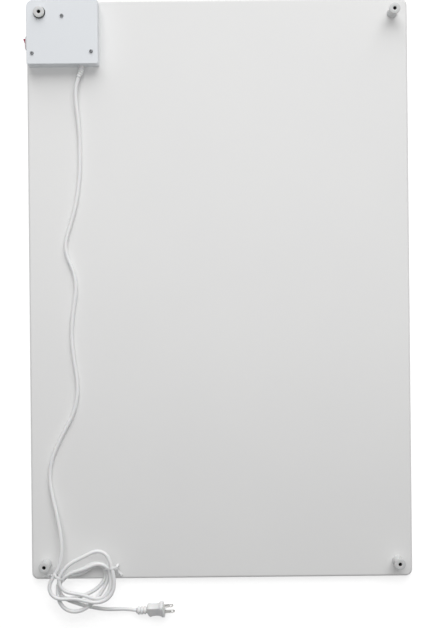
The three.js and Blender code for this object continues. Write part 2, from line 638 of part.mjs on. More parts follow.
function addCordEntry() {
  // The bush grips the box wall in a groove and tapers towards the free cord.
  const bore = CORD.radius + GAP;
  const { free, tip, root, neck, flange } = BUSH;
  const grooveEnd = BOX.wall + 2 * GAP;
  const length = grooveEnd + 2;
  const bends = [0.25, 0.5, 0.75].map((share) => -free * share);
  const taper = bends.map((level) => [root + ((tip - root) * -level) / free, level]).reverse();
  const bush = turned([
    [bore, -free], [tip, -free], ...taper, [root, 0], [neck, 0], [neck, grooveEnd], [flange, grooveEnd],
    [flange, length], [bore, length], [bore, 0], ...bends.map((level) => [bore, level]), [bore, -free],
  ], 16).rotateX(-Math.PI / 2).translate(CORD.x, BOX.bottom - GAP, CORD.exitZ);
  add("cord_bush", bentAside(bush), whitePlastic);

  const sheathStart = BOX.bottom - GAP - free;
  const sheathLength = CORD.innerEnd - sheathStart;
  const sheath = new THREE.CylinderGeometry(CORD.radius, CORD.radius, sheathLength, 12, 9);
  sheath.translate(CORD.x, sheathStart + sheathLength / 2, CORD.exitZ);
  add("cord_sheath_end", bentAside(sheath), cordSheath);

  const barThick = 3.2;
  const bottom = CORD.exitZ + 2 + GAP;
  const bar = block(
    CORD.x - CLAMP.span / 2, CORD.x + CLAMP.span / 2,
    CLAMP.y - CLAMP.width / 2, CLAMP.y + CLAMP.width / 2, bottom, bottom + barThick,
  );
  const arch = new THREE.CylinderGeometry(bore, bore, 20, 16).translate(CORD.x, CLAMP.y, CORD.exitZ);
  const screws = [-1, 1].map((side) => CORD.x + (side * CLAMP.screwSpacing) / 2);
  const screwHoles = screws.map((x) => post(x, CLAMP.y, 0, BOX_RIM, 1.5, 10));
  add("cord_clamp", cut(bar, arch, ...screwHoles), blackPlastic);
  screws.forEach((x, i) => {
    add(`clamp_bar_screw_${i + 1}`, panScrew(2.4, 1.6, 1.2, 9), zincSteel)
      .position.set(x, CLAMP.y, bottom + barThick + GAP);
  });
}

// Insulated cores inside the box, from end to end.
function addWiring() {
  const wires = [
    { name: "element_lead_1", material: whiteSleeve, points: [
      [-255, 374.6, 11.4], [-255, 374.7, 15.5], [-253, 376, 19], [-246, 380, 20.5], [-236, 383, 20],
      [-231.4, 387, 19.2], [-231, 390, 19], [-231, 394, 19],
    ] },
    { name: "element_lead_2", material: whiteSleeve, points: [
      [-232, 374.6, 11.4], [-232, 374.7, 15], [-230, 376.5, 18], [-225, 380, 19.4], [-221.4, 385, 19.2],
      [-221, 390, 19], [-221, 394, 19],
    ] },
    { name: "neutral_wire", material: blueCore, points: [
      [-211.4, 372.4, 20], [-209.5, 377, 20.3], [-206, 388, 21], [-206, 400, 21], [-209, 409, 20.5],
      [-215, 412, 19.8], [-219.2, 410.5, 19.4], [-219.9, 407, 19.3], [-219.9, 402, 19.3],
    ] },
    { name: "live_wire", material: brownCore, points: [
      [-214.6, 372.6, 20], [-215, 375, 20.8], [-218, 377, 23.4], [-225, 376, 25.4], [-236, 372, 27],
      [-250, 369.5, 28], [-260, 373, 28.8], [-266.5, 379, 28.4], [-271, 384, 25.4], [-274.1, 385, 24],
    ] },
    { name: "cutout_wire", material: brownCore, points: [
      [-212.2, 427, 27], [-216, 427, 27], [-222, 424, 26], [-227, 417.5, 23], [-230.2, 411, 20.4],
      [-231, 406.5, 19.1], [-231, 402, 19],
    ] },
    { name: "switched_wire", material: brownCore, points: [
      [-274.1, 391.5, 24], [-269, 392.5, 24.5], [-258, 402, 27], [-248, 412, 29.5], [-238, 417, 30.5],
      [-226, 419, 31], [-214, 417.5, 31.2], [-203, 416.5, 30.4], [-197.8, 421, 28.4], [-198.8, 426, 27.2],
      [-201.9, 427, 27],
    ] },
    { name: "lamp_wire", material: blueCore, points: [
      [-274.1, 378.5, 24], [-270, 378.7, 23.6], [-262, 384, 23], [-250, 394, 26], [-238, 402, 29],
      [-228, 409.5, 28.4], [-222.8, 413.4, 23.4], [-222.1, 410, 19.6], [-222.1, 402, 19.3],
    ] },
  ];
  for (const { name, material, points } of wires) add(name, tube(points, CORE, 6, 14), material);
}

// ---------------------------------------------------------------- mains cord, hank, ties and plug
function addCord() {
  const run = tube(CORD_RUN, CORD.radius, 8, CORD_STEPS);
  const lead = tube(CORD_LEAD, CORD.radius, 8, LEAD_STEPS);
  add("cord_run", run, cordSheath);
  add("cord_lead", lead, cordSheath);
  add("cord_hank", hankSolid(), cordSheath);
}

// The hank lies partly on the panel and partly on the floor, so its underside steps over the bottom edge.
function hankSolid() {
  const upright = (points, steps, z0, z1) => {
    const loop = new THREE.CatmullRomCurve3(points.map(([x, y]) => new THREE.Vector3(x, y, 0)), true);
    const outline = loop.getPoints(steps).slice(0, -1).map((p) => new THREE.Vector2(p.x, p.y));
    return loft([{ outline, z: z0 }, { outline, z: z1 }]);
  };
  const whole = upright([...HANK_OUTLINE].reverse(), 30, 0.1, HANK.topOnPanel);
  const gap = upright([...HANK_GAP].reverse(), 12, -1, HANK.topOnPanel + 1);
  const panelRoom = block(-halfWidth, halfWidth, -halfHeight - GAP, 0, -1, PANEL.back + GAP);
  const step = block(-halfWidth, halfWidth, -halfHeight - 200, HANK.stepY, HANK.topOnFloor, 60);
  const rests = [CORD_RUN.slice(-6), CORD_LEAD.slice(0, 4).reverse()].map((points) => {
    const beyond = new THREE.Vector3(...points.at(-1)).sub(new THREE.Vector3(...points.at(-2)));
    const end = new THREE.Vector3(...points.at(-1)).add(beyond.setLength(GAP));
    return tube([...points, end.toArray()], CORD.radius + 2 * GAP, 8, 10);
  });
  return cut(whole, gap, panelRoom, step, ...rests, ...TIES.map(tieNotch));
}

// A band of a twist tie round one arm of the hank, and the notch that it sits in.
function tieBand({ x, y, turn, span }) {
  const { width, wall, bottom, height } = TIE;
  const outside = span / 2 + wall;
  const outer = block(-outside, outside, -width / 2, width / 2, bottom, bottom + height + 2 * wall);
  const inner = block(-span / 2, span / 2, -width, width, bottom + wall, bottom + wall + height);
  return cut(outer, inner).rotateZ(THREE.MathUtils.degToRad(turn)).translate(x, y, 0);
}

function tieNotch({ x, y, turn, span }) {
  const { width, wall, bottom, height } = TIE;
  const across = span / 2 + 5;
  const along = width / 2 + GAP;
  const core = block(
    GAP - span / 2, span / 2 - GAP, -width, width, bottom + wall + GAP, bottom + wall + height - GAP,
  );
  const slab = cut(block(-across, across, -along, along, bottom - GAP, 60), core);
  return slab.rotateZ(THREE.MathUtils.degToRad(turn)).translate(x, y, 0);
}

function addTies() {
  for (const tie of TIES) add(tie.name, tieBand(tie), whitePlastic);
}

// The plug is drawn along +X with its blades' root at the origin, then rolled, pitched and turned.
function addPlug() {
  const plug = new THREE.Group();
  const degrees = THREE.MathUtils.degToRad;
  plug.rotation.set(degrees(PLUG.roll), degrees(-PLUG.pitch), degrees(PLUG.yaw), "ZYX");
  plug.position.set(PLUG.x, PLUG.y, PLUG.z);
  heater.add(plug);

  const section = (x, across, thick, corner) => {
    const outline = roundedOutline(-thick / 2, thick / 2, -across / 2, across / 2, Array(4).fill(corner), 3);
    return { outline, z: x };
  };
  const grip = loft([
    section(-27, 13, 11.5, 5.6), section(-26, 16.4, 13, 5.8), section(-20, 19.5, 14.6, 5.8),
    section(-9, 20.6, 15.2, 5.8), section(-4.6, 22.4, 16.4, 6), section(-4, 26.6, 19.2, 6.8),
    section(-3.2, 27.5, 20, 7), section(-0.8, 27.5, 20, 7), section(0, 26.3, 18.8, 6.4),
  ]).rotateY(Math.PI / 2);
  const ridges = [[0, -PLUG.tail], [3.9, -PLUG.tail], [4.2, -40.6]];
  for (const start of [-40.6, -36.4, -32.2]) {
    ridges.push([5.9, start + 0.4], [6.2, start + 2.6], [4.9, start + 3], [4.9, start + 4.2]);
  }
  ridges.push([4.9, -25], [0, -25]);
  const tail = turned(ridges, 16).rotateY(Math.PI / 2);
  const blades = [-1, 1].map((side) => ({ side, y: (side * BLADE.spacing) / 2 }));
  const slots = blades.map(({ y }) => {
    const halfThick = BLADE.thick / 2 + GAP;
    const halfWide = BLADE.width / 2 + GAP;
    return block(-8.3, 1, y - halfThick, y + halfThick, -halfWide, halfWide);
  });
  add("plug_body", cut(join(grip, tail), ...slots), whitePlastic, plug);

  for (const { side, y } of blades) {
    const halfWide = BLADE.width / 2;
    const halfThick = BLADE.thick / 2;
    const end = BLADE.length;
    const outline = new THREE.Shape([
      [-8, -halfWide], [end - 1.6, -halfWide], [end, -halfWide + 1.8], [end, halfWide - 1.8],
      [end - 1.6, halfWide], [-8, halfWide],
    ].map((p) => new THREE.Vector2(...p)));
    outline.holes.push(new THREE.Path().absarc(end - 4.2, 0, BLADE.hole, 0, 2 * Math.PI, true));
    const blade = new THREE.ExtrudeGeometry(outline, {
      depth: BLADE.thick, bevelEnabled: false, curveSegments: 5,
    }).rotateX(Math.PI / 2).translate(0, y + halfThick, 0);
    add(side > 0 ? "plug_blade_upper" : "plug_blade_lower", blade, nickel, plug);
  }
}

addPanel();
addSpacers();
addBoxBase();
addBoxCover();
addSwitchBody();
addRocker();
addSwitchContacts();
addTerminalBlock();
addThermalCutout();
addCordEntry();
addWiring();
addCord();
addTies();
addPlug();

export default heater;
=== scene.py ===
"""An infrared panel heater lying on its front, with its back, wall spacers, control box and cord upwards."""
import math

import bmesh
import bpy
import numpy as np
from mathutils import Matrix, Vector


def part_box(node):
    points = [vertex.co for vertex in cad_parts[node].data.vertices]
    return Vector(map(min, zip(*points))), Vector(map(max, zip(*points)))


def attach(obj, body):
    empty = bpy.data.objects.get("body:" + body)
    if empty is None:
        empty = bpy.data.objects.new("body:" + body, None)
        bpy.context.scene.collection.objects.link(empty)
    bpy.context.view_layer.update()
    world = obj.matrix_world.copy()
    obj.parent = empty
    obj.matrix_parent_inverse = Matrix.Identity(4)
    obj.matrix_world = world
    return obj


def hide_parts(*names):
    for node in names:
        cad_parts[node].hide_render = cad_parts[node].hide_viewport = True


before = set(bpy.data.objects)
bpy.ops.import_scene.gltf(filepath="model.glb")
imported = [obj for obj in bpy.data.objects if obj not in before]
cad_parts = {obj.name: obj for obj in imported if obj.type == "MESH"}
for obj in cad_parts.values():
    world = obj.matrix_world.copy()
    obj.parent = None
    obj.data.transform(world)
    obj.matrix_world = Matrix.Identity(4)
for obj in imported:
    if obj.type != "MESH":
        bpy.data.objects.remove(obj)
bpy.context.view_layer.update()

# Camera. It hangs straight above the heater's back and is turned by half a degree, as the photograph was
# taken; its height is counted from the panel's back, which the photograph shows square on.
camera_axis = Vector((0.0013, -0.0403))
camera_height = 1.697
camera_turn = -0.0098
panel_low, panel_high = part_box("back_board")
camera_data = bpy.data.cameras.new("camera")
camera_data.sensor_width = 36.0
camera_data.lens = 61.72
camera = bpy.data.objects.new("camera", camera_data)
camera.location = (*camera_axis, camera_height + panel_high.z)
camera.rotation_euler.z = camera_turn
bpy.context.scene.collection.objects.link(camera)
bpy.context.scene.camera = camera

# Mains cord. A round flexible cord with a white sheath leaves the control box, wanders down the panel's back
# and over its bottom edge, lies in four squeezed turns held by two ties, and ends in its plug.
cord_radius = 0.003
cord_exit = (-0.2182, 0.3338, 0.0200)
cord_spacing = 0.002
least_bend = 0.0192
feed_start = [
    cord_exit, (-0.2200, 0.3308, 0.0199), (-0.2224, 0.3240, 0.0194), (-0.2236, 0.3110, 0.0175),
    (-0.2230, 0.2980, 0.0159), (-0.2217, 0.2820, 0.0150),
]
feed_route = [
    (-0.2194, 0.2640), (-0.2180, 0.2420), (-0.2175, 0.2180), (-0.2180, 0.1860), (-0.2205, 0.1600),
    (-0.2250, 0.1330), (-0.2310, 0.1100), (-0.2380, 0.0880),
    (-0.2420, 0.0690), (-0.2390, 0.0510), (-0.2315, 0.0350), (-0.2265, 0.0170), (-0.2260, -0.0040),
    (-0.2295, -0.0280), (-0.2328, -0.0550), (-0.2330, -0.0800), (-0.2305, -0.1060), (-0.2265, -0.1320),
    (-0.2246, -0.1550), (-0.2270, -0.1780), (-0.2345, -0.2010), (-0.2470, -0.2240), (-0.2590, -0.2480),
    (-0.2675, -0.2720), (-0.2698, -0.2960), (-0.2665, -0.3220), (-0.2600, -0.3510), (-0.2545, -0.3790),
    (-0.2520, -0.4040), (-0.2535, -0.4240), (-0.2570, -0.4370),
]
# Each turn of the hank runs anticlockwise from the west; its reach from the hank's centre, in millimetres,
# changes with the direction in degrees, because the ties pull the turns out of round.
mm = 0.001
hank_centre = np.array([-0.2181, -0.4603])
hank_turns = [
    {180: 53, 190: 59, 200: 61, 210: 54, 220: 42, 240: 30, 260: 29, 280: 32, 300: 39, 320: 46, 340: 49,
     360: 48, 380: 48, 400: 53, 412: 58, 420: 58, 430: 52, 440: 44, 460: 37, 480: 36, 500: 37, 520: 38},
    {180: 44, 200: 38, 220: 28, 240: 22, 260: 20, 280: 23, 300: 32, 320: 41, 340: 43, 360: 43, 380: 44,
     392: 48, 404: 45, 420: 31, 440: 21, 460: 19, 480: 20, 500: 24, 520: 30},
    {180: 40, 200: 45, 220: 51, 240: 53, 260: 48, 280: 40, 300: 34, 320: 32, 340: 33, 360: 37, 380: 43,
     392: 48, 404: 46, 420: 31, 440: 17, 460: 13, 480: 14, 500: 18, 520: 28},
    {180: 42, 195: 48, 210: 48, 225: 39, 240: 30, 260: 23, 280: 20, 300: 20, 320: 22, 340: 25, 360: 31,
     375: 38, 388: 44, 400: 46, 412: 43, 424: 33, 440: 23, 460: 20, 480: 20, 500: 24, 520: 31},
    {180: 38, 200: 43, 220: 41, 240: 36, 260: 36, 272: 38},
]
lead_route = [
    (-0.2066, -0.5005), (-0.1987, -0.5022), (-0.1856, -0.5045), (-0.1725, -0.5048), (-0.1556, -0.5043),
    (-0.1463, -0.5055), (-0.1340, -0.5076),
]
hank_route = []
for reaches in hank_turns:
    for degrees, reach in reaches.items():
        way = np.array([math.cos(math.radians(degrees)), math.sin(math.radians(degrees))])
        hank_route.append(tuple(hank_centre + mm * reach * way))


def curve_through(points, steps=12):
    """A dense line on the smooth curve through some points."""
    p = np.array(points, float)
    p = np.vstack([2 * p[0] - p[1], p, 2 * p[-1] - p[-2]])
    t = np.linspace(0, 1, steps, endpoint=False)[:, None]
    stretches = [
        b + 0.5 * ((c - a) * t + (2 * a - 5 * b + 4 * c - d) * t**2 + (3 * b - a - 3 * c + d) * t**3)
        for a, b, c, d in zip(p, p[1:], p[2:], p[3:])
    ]
    return np.vstack(stretches + [p[-2:-1]])


def evenly_spaced(line, spacing):
    """The same line with points at equal steps."""
    lengths = np.linalg.norm(np.diff(line, axis=0), axis=1)
    along = np.concatenate([[0], np.cumsum(lengths)])
    marks = np.linspace(0, along[-1], round(along[-1] / spacing) + 1)
    return np.column_stack([np.interp(marks, along, axis) for axis in line.T])


def softened(values, rounds):
    """The values smoothed along their order, round by round; the two at each end stay."""
    values = values.copy()
    for _ in range(rounds):
        middle = values[:-4] + 4 * values[1:-3] + 6 * values[2:-2] + 4 * values[3:-1] + values[4:]
        values[2:-2] = middle / 16
    return values


def with_open_bends(line, least_radius, reach, rounds=400, pull=0.3):
    """The line with each bend that is tighter than least_radius eased open, over a reach of points."""
    line = line.copy()
    most_sag = (reach * cord_spacing) ** 2 / (2 * least_radius)
    for _ in range(rounds):
        middle = line[reach:-reach]
        sag = middle - (line[: -2 * reach] + line[2 * reach :]) / 2
        size = np.maximum(np.linalg.norm(sag, axis=1, keepdims=True), 1e-9)
        line[reach:-reach] = middle - pull * np.clip(1 - most_sag / size, 0, 1) * sag
    return line


def smooth_step(t):
    """0 below 0 and 1 above 1, with a soft rise between."""
    t = np.clip(t, 0, 1)
    return t * t * (3 - 2 * t)


plan = curve_through([p[:2] for p in feed_start] + feed_route + hank_route + lead_route)
plan = softened(evenly_spaced(plan, cord_spacing), rounds=6)
for reach in (8, 6, 4, 3):
    plan = evenly_spaced(softened(with_open_bends(plan, least_bend, reach), rounds=3), cord_spacing)
count = len(plan)
order = np.arange(count)

# What the cord lies on: the panel's back, past its bottom edge the floor, and at its end the plug's tail.
on_panel = panel_high.z + cord_radius
drop_start, drop_run = 0.008, 0.042
over_edge = smooth_step((panel_low.y + drop_start - plan[:, 1]) / drop_run)
height = on_panel + (cord_radius - on_panel) * over_edge
feed_length = 0.06
_, down, near_box = zip(*feed_start)
feed_height = np.interp(-plan[:, 1], [-y for y in down], near_box)
height = np.where(order * cord_spacing < feed_length, feed_height, height)
plug_lift, lift_start, lift_run, lifted_steps = 0.0033, -0.162, 0.025, 60
near_plug = smooth_step((plan[:, 0] - lift_start) / lift_run) * (order > count - lifted_steps)
height = height + plug_lift * near_plug

# Strands nearer the box lie on strands nearer the plug, and each passes over in a long low hump.
apart = 1.02 * 2 * cord_radius
same_strand = 15
beside = np.linalg.norm(plan[:, None] - plan[None], axis=2)
crossing = (order[None, :] > order[:, None] + same_strand) & (beside < apart)
rise = np.where(crossing, np.sqrt(np.maximum(apart**2 - beside**2, 0)), -1.0)
crown_reach, crown_radius, crown_drop, flank_slope = 0.007, 0.02, 0.0012, 0.35
hump_steps = np.arange(1, 30) * cord_spacing
hump_drop = np.where(
    hump_steps < crown_reach, hump_steps**2 / (2 * crown_radius),
    crown_drop + flank_slope * (hump_steps - crown_reach),
)
settling_rounds = 60
for _ in range(settling_rounds):
    height = np.maximum(height, np.where(crossing, height[None, :] + rise, 0).max(axis=1))
    for k, drop in enumerate(hump_drop, 1):
        height[k:] = np.maximum(height[k:], height[:-k] - drop)
        height[:-k] = np.maximum(height[:-k], height[k:] - drop)
height = softened(height, rounds=12)
# The plan was read off as if it lay on the panel; a raised strand sits nearer to the camera's axis.
run_length, lead_steps = 0.8, 90
raised = height - np.where(order * cord_spacing < run_length, on_panel, panel_high.z)
raised = np.where(order > count - lead_steps, 0, raised)
nearer = softened(1 - raised / camera_height, rounds=8)[:, None]
plan = np.array(camera_axis) + (plan - np.array(camera_axis)) * nearer
cord_line = evenly_spaced(np.column_stack([plan, height]), cord_spacing)


def add_object(name, vertices, faces, smooth=True):
    """A mesh object at the origin, put in the scene."""
    mesh = bpy.data.meshes.new(name)
    mesh.from_pydata([tuple(v) for v in vertices], [], faces)
    mesh.polygons.foreach_set("use_smooth", [smooth] * len(mesh.polygons))
    mesh.update()
    made = bpy.data.objects.new(name, mesh)
    bpy.context.scene.collection.objects.link(made)
    return made


def tube_rings(line, outline):
    """The outline, a list of (across, up), carried along the line without twist."""
    line = np.asarray(line)
    ahead = np.gradient(line, axis=0)
    ahead /= np.linalg.norm(ahead, axis=1, keepdims=True)
    up = np.array([0.0, 0.0, 1.0]) if abs(ahead[0][2]) < 0.9 else np.array([1.0, 0.0, 0.0])
    rings = []
    for point, direction in zip(line, ahead):
        up = up - direction * np.dot(up, direction)
        up /= np.linalg.norm(up)
        across = np.cross(direction, up)
        rings.append([point + a * across + b * up for a, b in outline])
    return np.array(rings)


def skin(name, rings, closed_ends=True, smooth=True):
    """One mesh over rings of equal count, with a UV map of metres along and share around."""
    rings = np.asarray(rings)
    levels, sides = rings.shape[:2]
    faces = []
    for level in range(levels - 1):
        for side in range(sides):
            a, b = level * sides + side, level * sides + (side + 1) % sides
            faces.append((a, b, b + sides, a + sides))
    if closed_ends:
        faces.append(tuple(range(sides - 1, -1, -1)))
        faces.append(tuple(range((levels - 1) * sides, levels * sides)))
    made = add_object(name, rings.reshape(-1, 3), faces, smooth)
    centres = rings.mean(axis=1)
    along = np.concatenate([[0], np.cumsum(np.linalg.norm(np.diff(centres, axis=0), axis=1))])
    uv = made.data.uv_layers.new(name="surface")
    for polygon in made.data.polygons:
        if len(polygon.vertices) != 4:
            continue
        side = polygon.index % sides
        shares = (side / sides, (side + 1) / sides, (side + 1) / sides, side / sides)
        for corner, vertex, share in zip(polygon.loop_indices, polygon.vertices, shares):
            uv.data[corner].uv = (along[vertex // sides], share)
    return made


def circle(radius, sides):
    """Points round a circle, anticlockwise."""
    angles = np.arange(sides) * 2 * math.pi / sides
    return [(radius * math.cos(a), radius * math.sin(a)) for a in angles]


mains_cord = skin("mains_cord", tube_rings(cord_line, circle(cord_radius, sides=16)))


def add_node(tree, kind, inputs=None, **settings):
    """A node with its settings; its inputs are plain values or the sockets that feed them."""
    made = tree.nodes.new(kind)
    for name, value in settings.items():
        setattr(made, name, value)
    for name, value in (inputs or {}).items():
        if isinstance(value, bpy.types.NodeSocket):
            tree.links.new(value, made.inputs[name])
        else:
            made.inputs[name].default_value = value
    return made


def add_sockets(group, direction, sockets):
    for name, kind in sockets.items():
        group.interface.new_socket(name, in_out=direction, socket_type=kind)


# Slow changes of tone and a fine grain, which every moulded, coated or metal surface here has.
surface_group = bpy.data.node_groups.new("tone_and_grain", "ShaderNodeTree")
add_sockets(surface_group, "INPUT", {
    "Vector": "NodeSocketVector", "Tone Scale": "NodeSocketFloat", "Grain Scale": "NodeSocketFloat",
})
add_sockets(surface_group, "OUTPUT", {"Tone": "NodeSocketFloat", "Grain": "NodeSocketFloat"})
group_in = surface_group.nodes.new("NodeGroupInput")
group_out = surface_group.nodes.new("NodeGroupOutput")
slow = add_node(surface_group, "ShaderNodeTexNoise", {
    "Vector": group_in.outputs["Vector"], "Scale": group_in.outputs["Tone Scale"],
    "Detail": 4.0, "Roughness": 0.55,
})
slow_range = add_node(surface_group, "ShaderNodeMapRange", {
    "Value": slow.outputs["Fac"], "From Min": 0.3, "From Max": 0.7,
})
fine = add_node(surface_group, "ShaderNodeTexNoise", {
    "Vector": group_in.outputs["Vector"], "Scale": group_in.outputs["Grain Scale"],
    "Detail": 2.0, "Roughness": 0.6,
})
surface_group.links.new(slow_range.outputs["Result"], group_out.inputs["Tone"])
surface_group.links.new(fine.outputs["Fac"], group_out.inputs["Grain"])


def make_finish(name, light, dark, roughness, grain, depth, tone=14.0, spread=0.05, stretch=(1, 1, 1),
                **shader_values):
    """A material whose colour drifts between two tones and whose surface has a fine grain.

    Tone and grain are the two patterns' scales, depth is the grain's relief in metres, spread is how far the
    roughness wanders either way, and shader_values go to the shader's own sockets.
    """
    material = bpy.data.materials.new(name)
    material.use_nodes = True
    tree = material.node_tree
    shader = tree.nodes["Principled BSDF"]
    place = add_node(tree, "ShaderNodeTexCoord")
    mapping = add_node(tree, "ShaderNodeMapping", {"Vector": place.outputs["Object"], "Scale": stretch})
    surface = add_node(tree, "ShaderNodeGroup", node_tree=surface_group)
    surface.inputs["Tone Scale"].default_value = tone
    surface.inputs["Grain Scale"].default_value = grain
    tree.links.new(mapping.outputs["Vector"], surface.inputs["Vector"])
    colour = add_node(tree, "ShaderNodeMix", data_type="RGBA")
    colour.inputs["A"].default_value = (*dark, 1)
    colour.inputs["B"].default_value = (*light, 1)
    tree.links.new(surface.outputs["Tone"], colour.inputs["Factor"])
    tree.links.new(colour.outputs["Result"], shader.inputs["Base Color"])
    gloss = add_node(tree, "ShaderNodeMapRange", {
        "Value": surface.outputs["Grain"], "To Min": roughness - spread, "To Max": roughness + spread,
    })
    tree.links.new(gloss.outputs["Result"], shader.inputs["Roughness"])
    relief = add_node(tree, "ShaderNodeBump", {
        "Height": surface.outputs["Grain"], "Strength": 1.0, "Distance": depth,
    })
    tree.links.new(relief.outputs["Normal"], shader.inputs["Normal"])
    for socket, value in shader_values.items():
        shader.inputs[socket.replace("_", " ")].default_value = value
    return material


def finish_piece(piece, material, body, nodes=()):
    """Gives a piece its material and its body, and hides the CAD nodes that it stands for."""
    piece.data.materials.clear()
    piece.data.materials.append(material)
    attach(piece, body)
    if nodes:
        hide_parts(*nodes)


sheath = make_finish(
    "white_cord_sheath", (0.905, 0.91, 0.91), (0.875, 0.88, 0.885), roughness=0.33,
    grain=900, depth=0.00002, tone=40, Subsurface_Weight=0.04, Subsurface_Scale=0.001,
)
finish_piece(mains_cord, sheath, "panel", ["cord_run", "cord_lead", "cord_hank"])

# Plug. A moulded two-blade plug in one with the cord's end: a flat grip with a flange in front and a tail
# of ridges that lets the cord bend. The blades are stamped from nickel-plated brass and have a hole each.
plug_front = (-0.0923, -0.5039, 0.0137)
plug_yaw, plug_pitch, plug_roll = math.radians(5), math.radians(8.6), math.radians(33)
plug_place = (
    Matrix.Translation(plug_front)
    @ Matrix.Rotation(plug_yaw, 4, "Z") @ Matrix.Rotation(-plug_pitch, 4, "Y")
    @ Matrix.Rotation(plug_roll, 4, "X")
)


def plug_ring(x, wide, thick, corner, corner_steps=8):
    """A rounded rectangle across the plug at x, anticlockwise from the bottom left."""
    ring = []
    for across, up, start in ((-1, -1, 180), (1, -1, 270), (1, 1, 0), (-1, 1, 90)):
        for step in range(corner_steps + 1):
            angle = math.radians(start + 90 * step / corner_steps)
            ring.append((x, across * (wide / 2 - corner) + corner * math.cos(angle),
                         up * (thick / 2 - corner) + corner * math.sin(angle)))
    return ring


# The grip from its tail end to the flange's front, in millimetres: place, width, thickness, corner.
grip_sections = [
    (-27.0, 11.0, 9.6, 4.4), (-26.7, 12.6, 10.6, 4.2), (-25.9, 15.2, 11.6, 3.4), (-24.6, 18.4, 12.8, 2.6),
    (-23.4, 19.5, 13.6, 1.9), (-21.8, 19.7, 13.7, 1.8), (-20.8, 18.9, 13.3, 1.7), (-19.4, 17.6, 12.8, 1.5),
    (-14.0, 16.8, 12.5, 1.5), (-10.5, 17.0, 12.6, 1.5), (-8.0, 17.8, 13.2, 1.7), (-6.2, 19.2, 14.2, 2.2),
    (-5.0, 21.2, 15.8, 3.2), (-4.2, 23.0, 17.2, 4.4), (-3.7, 24.2, 18.0, 5.2), (-3.3, 24.7, 18.3, 5.6),
    (-2.9, 24.9, 18.4, 5.8), (-0.6, 24.9, 18.4, 5.8), (-0.2, 24.6, 18.1, 5.7), (0.0, 24.0, 17.5, 5.3),
]
grip_rings = [plug_ring(*(mm * value for value in section)) for section in grip_sections]
plug_grip = skin("plug_grip", grip_rings)

# The tail's outline along the plug, in millimetres: place, radius.
tail_profile = [(-44.4, 3.6), (-44.2, 4.0), (-42.6, 4.4)]
for ridge in (-42.4, -37.6, -32.8):
    tail_profile += [(ridge, 4.8), (ridge + 0.4, 5.8), (ridge + 1.0, 6.3), (ridge + 2.6, 6.4),
                     (ridge + 3.3, 6.0), (ridge + 3.7, 5.2), (ridge + 3.9, 4.8), (ridge + 4.6, 4.8)]
tail_profile += [(-27.0, 4.9), (-25.5, 5.2)]
tail_rings = [[(mm * x, a, b) for a, b in circle(mm * radius, sides=32)] for x, radius in tail_profile]
plug_tail = skin("plug_tail", tail_rings)

blade_length, blade_half, blade_thick, blade_offset = 0.0165, 0.00315, 0.0015, 0.00635
blade_root, tip_cut, tip_slope, blade_hole, hole_from_tip = -0.002, 0.0016, 0.0018, 0.0016, 0.0042


def blade_mesh(name, across):
    """A flat blade with clipped corners and a round hole near its tip."""
    outer = [(blade_root, -blade_half), (blade_length - tip_cut, -blade_half),
             (blade_length, tip_slope - blade_half), (blade_length, blade_half - tip_slope),
             (blade_length - tip_cut, blade_half), (blade_root, blade_half)]
    built = bmesh.new()
    rim = [built.verts.new((x, across - blade_thick / 2, z)) for x, z in outer]
    hole = [built.verts.new((blade_length - hole_from_tip + a, across - blade_thick / 2, b))
            for a, b in circle(blade_hole, sides=24)]
    for loop in (rim, hole):
        for start, end in zip(loop, loop[1:] + loop[:1]):
            built.edges.new((start, end))
    bmesh.ops.triangle_fill(built, use_beauty=True, edges=built.edges[:])
    lifted = bmesh.ops.extrude_face_region(built, geom=built.faces[:])
    moved = [v for v in lifted["geom"] if isinstance(v, bmesh.types.BMVert)]
    bmesh.ops.translate(built, verts=moved, vec=(0, blade_thick, 0))
    bmesh.ops.recalc_face_normals(built, faces=built.faces[:])
    # The filling's faces come in any order, so they are sorted: every run then gives the same mesh.
    points = sorted(tuple(v.co) for v in built.verts)
    faces = []
    for face in built.faces:
        corners = [points.index(tuple(v.co)) for v in face.verts]
        first = corners.index(min(corners))
        faces.append(corners[first:] + corners[:first])
    built.free()
    return add_object(name, points, sorted(faces))


def soften_edges(piece, width, angle=35):
    """Breaks the edges that are sharper than the angle in degrees and shades the faces between evenly."""
    piece.data.polygons.foreach_set("use_smooth", [True] * len(piece.data.polygons))
    if width:
        bevel = piece.modifiers.new("broken_edges", "BEVEL")
        bevel.width = width
        bevel.segments = 2
        bevel.limit_method = "ANGLE"
        bevel.angle_limit = math.radians(angle)
    normals = piece.modifiers.new("even_shading", "WEIGHTED_NORMAL")
    normals.keep_sharp = True
    return piece


plug_blades = [
    soften_edges(blade_mesh("plug_blade_up", blade_offset), width=0.0002),
    soften_edges(blade_mesh("plug_blade_down", -blade_offset), width=0.0002),
]
for piece in (plug_grip, plug_tail, *plug_blades):
    piece.data.transform(plug_place)
moulded_white = make_finish(
    "moulded_plug_white", (0.88, 0.885, 0.885), (0.86, 0.865, 0.87), roughness=0.38,
    grain=1400, depth=0.000012, tone=60, Subsurface_Weight=0.04, Subsurface_Scale=0.001,
)
nickel_plate = make_finish(
    "nickel_plate", (0.80, 0.79, 0.77), (0.66, 0.655, 0.64), roughness=0.24,
    grain=2600, depth=0.000006, tone=200, spread=0.08, stretch=(0.15, 1, 1), Metallic=1.0,
)
finish_piece(plug_grip, moulded_white, "panel", ["plug_body"])
finish_piece(plug_tail, moulded_white, "panel")
finish_piece(plug_blades[0], nickel_plate, "panel", ["plug_blade_upper"])
finish_piece(plug_blades[1], nickel_plate, "panel", ["plug_blade_lower"])

# Twist ties. Two white plastic ribbons with a wire core hold the hank: each goes round the strands once,
# its ends are twisted together beside them, and the loose ends lie out to the side on the panel.
ribbon_half_width, ribbon_half_thick = 0.0019, 0.0003
